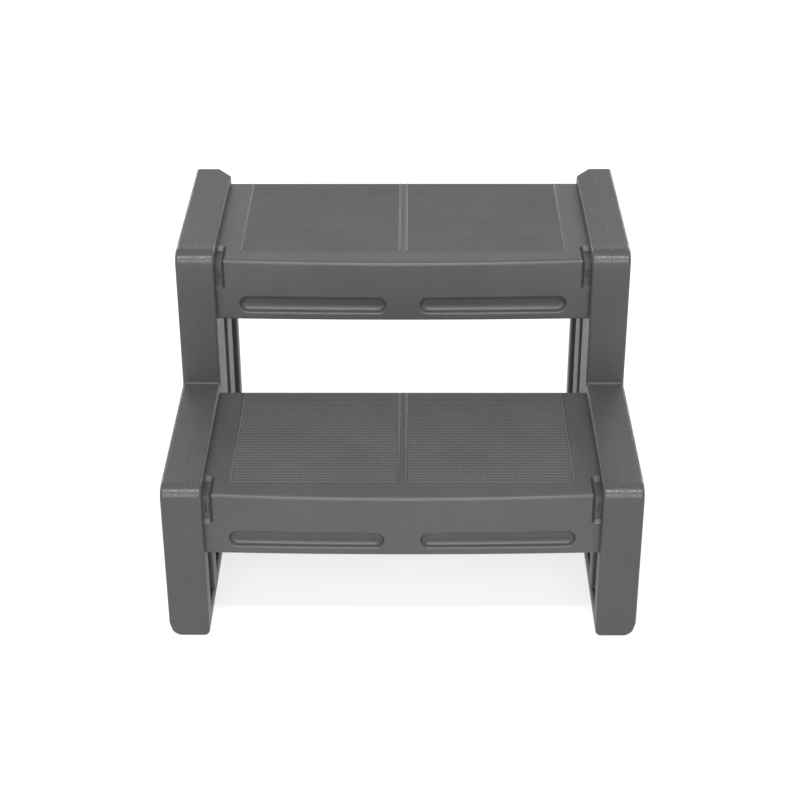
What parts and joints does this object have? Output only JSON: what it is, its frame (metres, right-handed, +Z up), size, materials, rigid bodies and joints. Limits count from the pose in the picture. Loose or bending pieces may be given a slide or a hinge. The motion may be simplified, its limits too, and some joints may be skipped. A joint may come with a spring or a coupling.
{
  "type": "pool step",
  "caption": "Free-standing moulded plastic step for a spa or pool, with stepped hollow side frames, ribbed treads with grooved fascias, hidden bolts and rubber feet.",
  "frame": {"origin": "on the ground, under the middle of the outline", "axes": "+X across the step, +Y from its front to its rear, +Z up"},
  "size_m": [0.62, 0.59, 0.43],
  "materials": {
    "frame_plastic": "dark grey HDPE, semi-matte",
    "tread_plastic": "dark grey HDPE, semi-matte",
    "cap_plastic": "moulded, fine grain",
    "rivet_plastic": "black nylon",
    "foot_rubber": "matte black rubber",
    "bolt_steel": "stainless, dull",
    "washer_steel": "stainless, stamped",
    "insert_brass": "turned brass"
  },
  "bodies": {
    "root": {"left_side_frame": "frame_plastic", "right_side_frame": "frame_plastic", "lower_tread": "tread_plastic", "upper_tread": "tread_plastic", "lower_left_tread_bolts": "bolt_steel", "lower_left_tread_washers": "washer_steel", "lower_left_tread_inserts": "insert_brass", "lower_left_tread_caps": "cap_plastic", "lower_right_tread_bolts": "bolt_steel", "lower_right_tread_washers": "washer_steel", "lower_right_tread_inserts": "insert_brass", "lower_right_tread_caps": "cap_plastic", "upper_left_tread_bolts": "bolt_steel", "upper_left_tread_washers": "washer_steel", "upper_left_tread_inserts": "insert_brass", "upper_left_tread_caps": "cap_plastic", "upper_right_tread_bolts": "bolt_steel", "upper_right_tread_washers": "washer_steel", "upper_right_tread_inserts": "insert_brass", "upper_right_tread_caps": "cap_plastic", "front_left_foot": "foot_rubber", "front_left_foot_rivets": "rivet_plastic", "front_right_foot": "foot_rubber", "front_right_foot_rivets": "rivet_plastic", "rear_left_foot": "foot_rubber", "rear_left_foot_rivets": "rivet_plastic", "rear_right_foot": "foot_rubber", "rear_right_foot_rivets": "rivet_plastic"}
  },
  "joints": []
}
